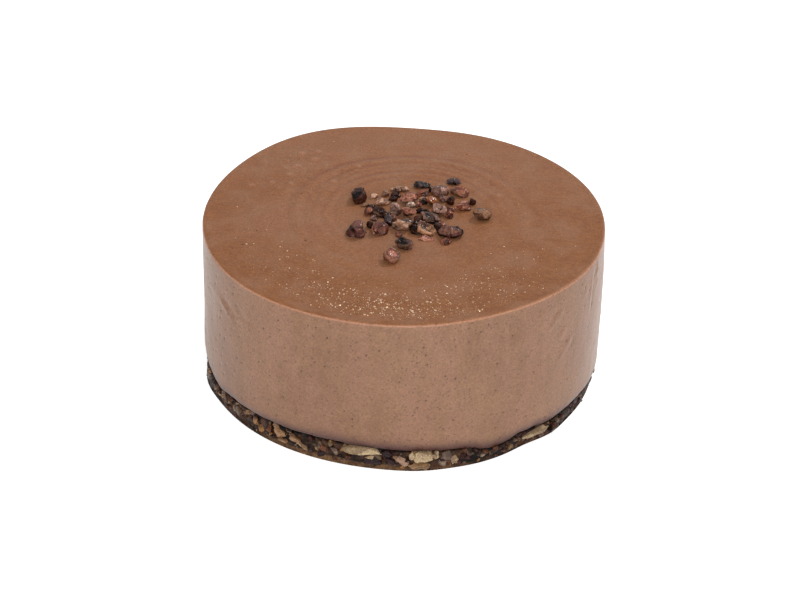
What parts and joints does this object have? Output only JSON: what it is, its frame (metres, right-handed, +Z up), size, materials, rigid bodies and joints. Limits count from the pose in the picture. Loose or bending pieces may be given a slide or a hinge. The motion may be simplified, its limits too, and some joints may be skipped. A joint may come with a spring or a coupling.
{
  "type": "chocolate mousse cake",
  "caption": "Small round chocolate mousse cake on a thin pressed crust of nuts and dates, with a cluster of cacao nibs on its smooth top.",
  "frame": {"origin": "middle of the flat underside, on the surface the cake stands on", "axes": "+Z up through the top, -Y towards the side that the picture shows as the front, +X to the right of that side"},
  "size_m": [0.1007, 0.101, 0.0442],
  "materials": {
    "mousse": "smooth set chocolate mousse, soft satin, with fine air pores",
    "nibs": "broken cacao nibs, dark red-brown, partly glossy",
    "crust": "sticky pressed date and cacao, near black",
    "nuts": "chopped pale nuts"
  },
  "bodies": {
    "root": {"mousse": "mousse", "crust": "crust"}
  },
  "joints": []
}
